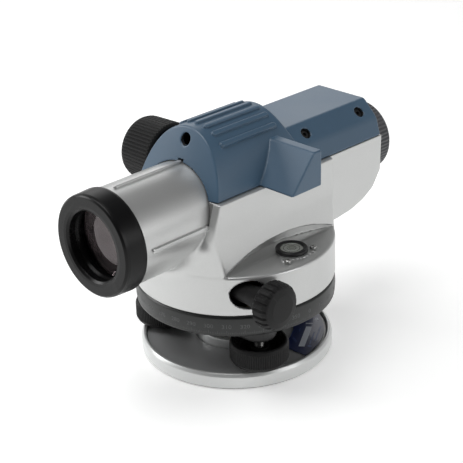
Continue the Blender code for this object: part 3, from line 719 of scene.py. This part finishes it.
for word, angle, end, (x0, x1), (z0, z1) in (("top", 90, -38.4, (-1.6, 1.6), (122.0, 125.8)),
                                             ("right", 0, -46.0, (25.6, 28.7), (95.4, 98.6)),
                                             ("left", 180, -46.0, (-28.7, -25.6), (95.4, 98.6))):
    skin(f"tube_rib_{word}", rib_field(angle, end), (x0, -84.7, z0), (x1, end + 0.2, z1), 0.3, SILVER,
         "alidade", slot="silver_paint")

ring_front, ring_back = -span("objective_ring")[0].y, 88.8
thread = [(19.0 + (0.22 if i % 2 else 0.0), ring_front - 5.2 - 0.36 * i) for i in range(7)]
revolve("objective_ring_shell", soft([
    (19.0, ring_front - 1.3, 0.4), (20.3, ring_front - 0.2, 0.4), (22.0, ring_front, 0.6),
    (26.6, ring_front, 0.7), (27.6, ring_front - 0.9, 0.9), (27.9, ring_front - 2.4, 1.5),
    (28.3, ring_back + 1.3, 0.5), (28.1, ring_back, 0.4), (24.3, ring_back, 0.2),
    (24.3, ring_back - 7.0, 0.2), (20.8, ring_back - 7.0, 0.2), (20.8, 93.2, 0.2), (19.0, 93.2, 0.2),
] + [(r, h, 0.1) for r, h in thread[::-1]], 0.5, 5), RING, "alidade", "F", ON_SIGHT, 180,
    replaced=("objective_ring",))
dome = [(r, 94.6 - 3.2 * (r / 20.4) ** 2) for r in np.linspace(0, 20.4, 14)]
hollow = [(r, 86.0 + 1.6 * (r / 20.4) ** 2) for r in np.linspace(20.4, 0, 14)]
revolve("objective_lens_glass", dome + hollow, LENS, "alidade", "F", ON_SIGHT, 128,
        replaced=("objective_lens",), sharp=40)
revolve("objective_retainer_ring", soft([(17.4, 85.2), (20.4, 85.2), (20.4, 82.6), (17.4, 82.6)], 0.3),
        MATT, "alidade", "F", ON_SIGHT, 96, replaced=("objective_retainer",))

# ---------------------------------------- eyepiece
ring_end = span("eyepiece_ring")[1].y
revolve("eyepiece_ring_grip", dense(soft([
    (15.5, 94.2, 0.2), (20.6, 94.2, 0.8), (21.6, 95.4, 1.0), (21.6, ring_end - 1.9, 1.6),
    (20.2, ring_end, 1.4), (12.8, ring_end, 1.2), (10.4, ring_end - 1.9, 1.0), (9.6, 108.8, 0.2),
    (15.5, 108.8, 0.2)], 0.6, 5), 1.0, 20.8), GREY, "eyepiece", "B", ON_SIGHT, 360,
    ribs(60, 0.55, 96.0, ring_end - 1.6, 20.9, 0.5), replaced=("eyepiece_ring",))
revolve("eyepiece_tube_barrel", soft([
    (9.4, 72.0), (15.1, 72.0), (15.1, 108.2), (9.4, 108.4)], 0.5), BLACK, "alidade", "B",
    ON_SIGHT, 96, replaced=("eyepiece_tube",))
revolve("eyepiece_lens_glass", [(0, 101.0), (4.5, 101.2), (9.1, 102.0), (9.1, 105.4), (7, 106.2),
                                (4.5, 106.9), (2.2, 107.3), (0, 107.4)], LENS, "alidade", "B",
        ON_SIGHT, 96, replaced=("eyepiece_lens",), sharp=40)

# ---------------------------------------- drive and focus knobs
for side, word in ((1, "right"), (-1, "left")):
    far = span(f"drive_knob_{word}")[1].x if side > 0 else -span(f"drive_knob_{word}")[0].x
    outline = [
        (3.3, 34.0, 0.1), (5.2, 34.0, 0.4), (5.5, 46.0, 1.5), (6.9, 56.3, 2.0), (11.6, 57.8, 1.2),
        (13.0, 59.5, 1.0), (13.0, far - 3.6, 2.4), (11.6, far - 1.3, 2.0), (7.5, far - 0.3, 3.0),
        (0, far, 0), (0, 44.4, 0), (3.3, 44.4, 0.1)]
    outline = [(r, side * h, q) for r, h, q in outline]
    window = sorted((side * 57.4, side * (far - 1.2)))
    revolve(f"drive_knob_{word}_grip", dense(soft(outline, 0.5, 5), 0.9, 10.3), KNOB, "drive", "X",
            ON_DRIVE, 320, ribs(20, 1.0, window[0], window[1], 10.6, 0.34, 1.1, 1.6),
            replaced=(f"drive_knob_{word}",))
    revolve(f"drive_sleeve_{word}_ring", soft([
        (3.6, side * 29.5), (7.8, side * 29.5), (7.8, side * 37.4), (6.9, side * 37.4),
        (6.9, side * 31.5), (3.6, side * 31.5)], 0.35), BLACK, "alidade", "X", ON_DRIVE, 80,
        replaced=(f"drive_sleeve_{word}",))

near = span("focus_knob")[0].x
revolve("focus_knob_grip", dense(soft([
    (2.6, -45.5, 0.1), (17.8, -45.5, 0.8), (19.4, -46.8, 1.2), (18.7, near + 3.4, 2.0),
    (17.7, near + 1.0, 1.8), (15.4, near + 0.1, 2.0), (11.0, near + 0.9, 1.0), (0, near + 1.2, 0),
    (0, -60.0, 0), (2.6, -60.0, 0.1)], 0.5, 5), 1.0, 17.2), KNOB, "focus", "X", ON_FOCUS, 432,
    ribs(56, 0.75, near + 1.6, -46.2, 17.3, 0.42, 1.0), replaced=("focus_knob",))
revolve("focus_collar_boss", soft([
    (3.4, -45.2), (13.5, -45.2, 0.8), (13.5, -33.4), (3.4, -33.4)], 0.3), BLACK, "alidade", "X",
    ON_FOCUS, 96, replaced=("focus_collar",))

# ---------------------------------------- horizontal circle and its scale
CIRCLE_LOW, CIRCLE_TOP = heights("graduated_circle")
CIRCLE_R = span("graduated_circle")[1].x


def circle_out(z):
    """The circle's outer radius at a height: slightly crowned, with softer ends."""
    return CIRCLE_R - 0.55 * ((z - 40.0) / 6.3) ** 2


crown = [(circle_out(z), z, 0) for z in np.linspace(CIRCLE_LOW + 0.9, CIRCLE_TOP - 0.9, 15)]
revolve("graduated_circle_ring", soft([
    (12.7, 34.4, 0.2), (CIRCLE_R - 4.2, 34.4, 0.3), (CIRCLE_R - 3.6, CIRCLE_LOW, 0.3),
    (CIRCLE_R - 1.5, CIRCLE_LOW, 0.5)] + crown + [(CIRCLE_R - 1.6, CIRCLE_TOP, 0.5),
    (CIRCLE_R - 4.0, CIRCLE_TOP, 0.3), (CIRCLE_R - 4.0, 36.6, 0.4), (12.7, 36.6, 0.2)], 0.4), CIRCLE,
    "circle", segments=240, replaced=("graduated_circle",))


def scale_marks():
    """Degree strokes and a number every ten degrees, thin raised paint bent round the circle."""
    points, faces = [], []

    def bend(flat, solid_faces):
        start = len(points)
        for u, v, lift in flat:
            r = circle_out(v) + lift
            points.append((r * math.cos(u / CIRCLE_R), r * math.sin(u / CIRCLE_R), v))
        faces.extend([tuple(start + c for c in face) for face in solid_faces])

    for degree in range(360):
        u = math.radians(degree) * CIRCLE_R
        tall = 2.1 if degree % 10 == 0 else 1.6 if degree % 5 == 0 else 1.0
        half, low, high = 0.11, 35.9, 35.9 + tall
        stroke = ((-half, low), (half, low), (half, high), (-half, high))
        bend([(u + a, b, lift) for lift in (-0.12, 0.035) for a, b in stroke], prism(4))
    for degree in range(0, 360, 10):
        text = bpy.data.curves.new("digits", "FONT")
        text.body = str(degree)
        text.align_x = "CENTER"
        text.size, text.extrude, text.resolution_u = 3.3, 0.08, 3
        held = linked("digits", text)
        mesh = bpy.data.meshes.new_from_object(held.evaluated_get(bpy.context.evaluated_depsgraph_get()))
        u = math.radians(degree) * CIRCLE_R
        flat = [(u + v.co.x * 1.12, 39.3 + v.co.y, v.co.z - 0.045) for v in mesh.vertices]
        bend(flat, [tuple(p.vertices) for p in mesh.polygons])
        bpy.data.objects.remove(held)
    add_piece("circle_scale_marks", points, faces, MARKS, "circle", slot="silver_paint", sharp=30)


scale_marks()

# ---------------------------------------- levelling head
def head_field(x, y, z):
    """A rounded three-armed plate on a hub, with a boss round each foot screw."""
    gap, core = None, None
    for a, b in sides(FEET):
        u, v, way = x - a.x, y - a.y, b - a
        along = np.clip((u * way.x + v * way.y) / way.length_squared, 0, 1)
        d = np.hypot(u - along * way.x, v - along * way.y)
        s = (u * way.y - v * way.x) / way.length
        gap = d if gap is None else np.minimum(gap, d)
        core = s if core is None else within(core, s)
    plate = np.where(core < 0, -gap, gap) - 9.4
    low, high = heights("tribrach_head")
    made = both(both(plate, z - high, 1.4), 26.6 - z, 1.4)
    out = np.hypot(x, y)
    made = either(made, both(both(out - 21.5, z - 30.0, 0.5), low - z, 1.4), 2.6)
    for foot in FEET:
        boss = both(np.hypot(x - foot.x, y - foot.y) - 6.4, z - high, 0.5)
        made = either(made, within(boss, 25.6 - z), 0.8)
        made = less(made, np.hypot(x - foot.x, y - foot.y) - 3.4, 0.7)
    return less(made, out - 12.6, 0.7)


skin("tribrach_head_casting", head_field, *span("tribrach_head"), 0.8, BLACK, "tribrach",
     replaced=("tribrach_head",))

for n, foot in enumerate(FEET, 1):
    low, top = heights(f"foot_knob_{n}")
    at = (foot.x, foot.y, 0)
    revolve(f"foot_knob_{n}_grip", dense(soft([
        (3.3, low, 0.1), (13.8, low, 1.0), (15.6, low + 1.5, 1.2), (16.5, low + 3.4, 1.2),
        (16.5, top - 2.2, 0.9), (15.7, top - 0.4, 0.9), (14.9, top, 0.6), (14.0, top - 0.1, 0.6),
        (13.2, top - 1.6, 0.8), (12.6, 21.4, 0.8), (11.6, 21.0, 0.5), (10.8, 19.4, 0.8), (6.2, 18.5, 0.8),
        (5.7, 20.6, 0.5), (3.3, 20.6, 0.2)], 0.5, 5), 0.9, 15.9), KNOB, f"foot_screw_{n}", "Z", at, 400,
        ribs(80, 0.42, low + 3.0, top - 1.8, 15.8, 0.5, 0.7), replaced=(f"foot_knob_{n}",))
    groove = [(3.0 - (0.28 if i % 2 else 0.0), 31.0 - 0.45 * i, 0.05) for i in range(24)]
    revolve(f"foot_spindle_{n}_screw", soft([
        (0, 3.0, 0), (3.2, 3.0, 0.2), (4.2, 3.9, 0.6), (4.2, 5.2, 0.6), (2.5, 6.3, 0.3), (2.5, 9.4, 0.3),
        (3.0, 10.0, 0.2), (3.0, 20.0, 0.1)] + groove[::-1] + [(2.5, 32.0, 0.3), (0, 32.2, 0)], 0.3),
        DIM_STEEL, f"foot_screw_{n}", "Z", at, 64, replaced=(f"foot_spindle_{n}",))

# ---------------------------------------- base
BASE_R = span("base_plate")[1].x
bored(revolve("base_plate_casting", soft([
    (11.3, 0.0, 0.4), (19.0, 0.0, 0.3), (19.4, 0.5, 0.3), (47.6, 0.5, 0.3), (48.0, 0.0, 0.3),
    (BASE_R - 1.2, 0.0, 0.9), (BASE_R, 1.3, 1.2), (BASE_R, 7.6, 1.9), (BASE_R - 1.3, 9.5, 1.3),
    (53.0, 9.5, 0.6), (52.4, 8.8, 0.4), (52.4, 6.4, 0.6), (23.5, 6.4, 0.5), (23.5, 13.2, 0.9),
    (11.3, 13.2, 0.6)], 0.5, 6), [BASE, CAST], "base", segments=200, replaced=("base_plate",),
    pick=lambda x, y, z, n: np.where((n[:, 2] < -0.5) & (z < 0.9), 1, 0)),
    [(foot.x, foot.y, 4.6, 2.7, 9.4) for foot in FEET])
bored(revolve("spring_plate_disc", soft([
    (24.0, 6.7), (52.0, 6.7), (52.0, 7.7), (24.0, 7.7)], 0.25), PLATE, "base", segments=160,
    replaced=("spring_plate",)), [(foot.x, foot.y, 2.9, 4.0, 12.0) for foot in FEET])


def thread(radius, height, turn):
    """A helical thread cut into a bore, which leaves the points outside the bore alone."""
    pitch, depth = 2.309, 0.85
    phase = (height / pitch - turn / (2 * math.pi)) % 1.0
    return depth * np.abs(2 * phase - 1) * (radius < 7.0)


low, top = heights("thread_insert")
bore = [(6.92, h) for h in np.linspace(low + 1.0, top - 0.8, 60)]
revolve("thread_insert_screwed", [
    (7.9, low), (10.9, low), (11.0, low + 0.3), (11.0, top - 0.3), (10.9, top), (7.7, top)] + bore[::-1],
    BRASS, "base", segments=120, grip=thread, replaced=("thread_insert",), sharp=25)


def curved_patch(r0, r1, a0, a1, low, high):
    """A thin closed patch between two radii and two angles, in degrees."""
    steps = 14
    turns = [math.radians(a0 + (a1 - a0) * i / steps) for i in range(steps + 1)]
    points = [(r * math.cos(t), r * math.sin(t), h) for h in (low, high) for r in (r0, r1) for t in turns]
    row = steps + 1
    faces = []
    for i in range(steps):
        a, b, c, d = i, i + 1, row + i + 1, row + i
        faces += [(a, b, c, d), (2 * row + d, 2 * row + c, 2 * row + b, 2 * row + a)]
        faces += [(b, a, 2 * row + a, 2 * row + b), (d, c, 2 * row + c, 2 * row + d)]
    faces += [(0, row, 3 * row, 2 * row), (steps + row, steps, steps + 2 * row, steps + 3 * row)]
    return points, faces


def base_film():
    """A navy information film with plain bars, strokes and dots, laid out along one slanting block."""
    low, top = heights("base_label")
    points, faces = curved_patch(33.0, 50.8, 4, 64, low, top)
    which = [0] * len(faces)
    along, across, centre = Vector((0.517, -0.856)), Vector((0.856, 0.517)), Vector((36.5, 19.2))

    def stamp(outline, kind):
        start = len(points)
        for h in (top - 0.02, top + 0.04):
            points.extend([(*(centre + along * u + across * v), h) for u, v in outline])
        made = [tuple(start + c for c in face[::-1]) for face in prism(len(outline))]
        faces.extend(made)
        which.extend([kind] * len(made))

    def bar(u0, u1, v0, v1, kind, slant=0.0):
        corners = ((u0, v0), (u1, v0), (u1, v1), (u0, v1))
        stamp([(u + slant * v, v) for u, v in corners], kind)

    def dot(u, v, radius, kind):
        stamp(ring_of(u, v, radius, 24), kind)

    bar(-11.8, 11.6, -1.7, 1.7, 1, -0.15)
    bar(-16.2, -15.3, -2.7, 1.3, 1, -0.15)
    dot(-21.4, 2.7, 1.25, 1)
    bar(-6.0, 8.0, 3.8, 4.4, 2)
    bar(-13.4, 3.7, 6.1, 6.8, 2)
    dot(10.3, 4.4, 1.2, 2)
    for i in range(4):
        bar(3.0 + i, 5.6 + i, -6.6 + 0.8 * i, -6.2 + 0.8 * i, 2, 0.2)
    bar(-4.0, 4.0, -8.4, -7.9, 2, 0.3)
    bar(-9.0, -5.0, -4.8, -4.4, 2)
    add_piece("base_label_film", points, faces, [NAVY, WHITE, PALE_BLUE], "base", ("base_label",),
              sharp=30, pick=lambda x, y, z, n: np.array(which))


base_film()

# ---------------------------------------- round bubble
z = LEDGE_Z + 0.3
at = (BUBBLE.x, BUBBLE.y, 0)
revolve("bubble_ring_bezel", soft([
    (6.3, z, 0.1), (8.8, z, 0.2), (9.0, z + 0.6, 0.3), (9.0, z + 1.6, 0.6), (8.4, z + 2.2, 0.4),
    (6.9, z + 2.15, 0.3), (6.3, z + 1.6, 0.2)], 0.4, 5), BLACK, "alidade", "Z", at, 120,
    replaced=("bubble_ring",))
dome = [(r, z + 2.1 - 0.45 * (r / 6.2) ** 2) for r in np.linspace(0, 6.2, 10)]
revolve("bubble_vial_dome", dome + [(6.2, z), (0, z)], VIAL, "alidade", "Z", at, 96,
        replaced=("bubble_vial",), sharp=40)
revolve("bubble_vial_floor", soft([
    (0, z + 0.3, 0), (6.0, z + 0.3), (6.0, z + 0.7), (0, z + 0.7, 0)], 0.1),
    DISC, "alidade", "Z", at, 64, slot="vial")
for word, r in (("inner", 2.3), ("outer", 4.3)):
    revolve(f"bubble_circle_{word}", soft([
        (r, z + 0.7), (r + 0.3, z + 0.7), (r + 0.3, z + 0.85), (r, z + 0.85)], 0.05),
        BLACK, "alidade", "Z", at, 64, slot="black_plastic")
revolve("bubble_air", [
    (0, z + 1.15), (1.2, z + 1.2), (1.8, z + 1.4), (1.95, z + 1.55), (1.5, z + 1.75), (0, z + 1.85)],
    BUBBLE_AIR, "alidade", "Z", (BUBBLE.x + 0.3, BUBBLE.y - 0.2, 0), 48, slot="glass")


def hex_socket(across):
    """Turns a round recess into a hexagonal one, for points inside a radius."""
    def shape(radius, height, turn):
        part = (turn + math.pi / 6) % (math.pi / 3) - math.pi / 6
        flat = across * math.cos(math.pi / 6) / np.cos(part)
        return np.where(radius < across, flat - radius, 0.0) * (radius > 0.4)
    return shape


for n in (1, 2):
    revolve(f"bubble_screw_{n}_head", soft([
        (0, z, 0), (1.9, z, 0.1), (1.9, z + 1.3, 0.4), (1.5, z + 1.6, 0.2), (0.85, z + 1.6, 0.05),
        (0.84, z + 0.8, 0), (0, z + 0.8, 0)], 0.2), STEEL, "alidade", "Z",
        (*middle(f"bubble_screw_{n}"), 0), 60,
        hex_socket(0.9), replaced=(f"bubble_screw_{n}",))
for n, (side, y_at) in enumerate([(side, y_at) for side in (1, -1) for y_at in SCREW_YS], 1):
    made = revolve(f"cover_screw_{n}_head", soft([
        (0, -6.4, 0), (1.6, -6.4, 0.2), (1.6, -3.6, 0.2), (2.8, -3.6, 0.2), (2.8, -2.0, 0.4),
        (2.4, -1.6, 0.3), (1.25, -1.6, 0.05), (1.24, -3.0, 0), (0, -3.0, 0)], 0.2), BLACK, "alidade", "Z",
        (0, 0, 0), 60, hex_socket(1.3), replaced=(f"cover_screw_{n}",))
    turn = Matrix.Rotation(side * math.radians(45), 4, "Y")
    made.data.transform(Matrix.Translation(Vector((side * SCREW_X, y_at, SCREW_Z)) * MM) @ turn)

# ---------------------------------------- floor, light and camera
def make_floor():
    half = 6.0
    mesh = bpy.data.meshes.new("floor")
    corners = [(-half, -half, 0), (half, -half, 0), (half, half, 0), (-half, half, 0)]
    mesh.from_pydata(corners, [], [(0, 1, 2, 3)])
    n = Nodes("pale_floor")
    tone = n.mix(n.spread(n.noise(1.5), 0.0, 1.0), (0.86, 0.865, 0.86), (0.88, 0.885, 0.88))
    mesh.materials.append(n.put(Base_Color=tone, Roughness=0.75, Emission_Color=(1.0, 1.0, 1.0),
                                Emission_Strength=0.40))
    floor = linked("floor", mesh)


def area(name, at, toward, size, power):
    """A round soft light, in metres and watts."""
    light = bpy.data.lights.new(name, "AREA")
    light.shape, light.size, light.energy = "DISK", size, power
    made = linked(name, light)
    made.location = at
    made.rotation_euler = (Vector(toward) - Vector(at)).to_track_quat("-Z", "Y").to_euler()


def make_world():
    """A white room, darker overhead and to one side, to give the rounded metal its middle tones."""
    n = Nodes("studio", bpy.data.worlds, "Background", "Generated")
    height = n.add("ShaderNodeSeparateXYZ", {0: n.coord}).outputs["Z"]
    ramp = n.add("ShaderNodeValToRGB", {0: height})
    first, last = ramp.color_ramp.elements
    first.position, first.color = 0.0, (1, 1, 1, 1)
    last.position, last.color = 1.0, (0.4, 0.4, 0.4, 1)
    for place, level in ((0.28, 1.0), (0.5, 0.7), (0.76, 0.14)):
        ramp.color_ramp.elements.new(place).color = (level, level, level, 1)
    dark_side = (0.66, -0.66, 0.36)
    toward = n.add("ShaderNodeVectorMath", {0: n.coord, 1: dark_side}, operation="DOT_PRODUCT")
    values = {"Value": toward.outputs["Value"], "From Min": 0.45, "From Max": 0.95, "To Min": 1.0,
              "To Max": 0.18}
    fade = n.add("ShaderNodeMapRange", values, interpolation_type="SMOOTHSTEP")
    shade = n.add("ShaderNodeVectorMath", {0: ramp.outputs["Color"], "Scale": fade.outputs["Result"]},
                  operation="SCALE")
    bpy.context.scene.world = n.put(Color=shade.outputs[0], Strength=0.5)


def make_camera():
    """The camera of the picture; its angles are in degrees and its distance in metres."""
    az, el, roll = (math.radians(v) for v in (45.574, 25.156, -1.543))
    target, distance = Vector((0, -2.11, 70.87)) * MM, 0.75495
    back = Vector((math.sin(az) * math.cos(el), -math.cos(az) * math.cos(el), math.sin(el)))
    right = Vector((math.cos(az), math.sin(az), 0))
    up = back.cross(right)
    right, up = right * math.cos(roll) + up * math.sin(roll), up * math.cos(roll) - right * math.sin(roll)
    camera = bpy.data.cameras.new("camera")
    camera.lens, camera.sensor_width = 104.385, 36.0
    camera.clip_start, camera.clip_end = 0.01, 30.0
    made = linked("camera", camera)
    turn = Matrix((right, up, back)).transposed().to_4x4()
    made.matrix_world = Matrix.Translation(target + back * distance) @ turn
    bpy.context.scene.camera = made


make_floor()
make_world()
area("overhead", (-0.25, -0.35, 1.3), (0, 0, 0.08), 1.1, 11.0)
area("left_front", (-1.25, -0.75, 0.7), (0, 0, 0.09), 0.7, 7.0)
area("right", (1.35, 0.35, 0.55), (0, 0, 0.08), 0.8, 3.5)
area("left_back", (-1.05, 1.05, 0.8), (0, 0, 0.1), 1.1, 2.6)
make_camera()
bpy.context.scene.view_settings.view_transform = "Standard"
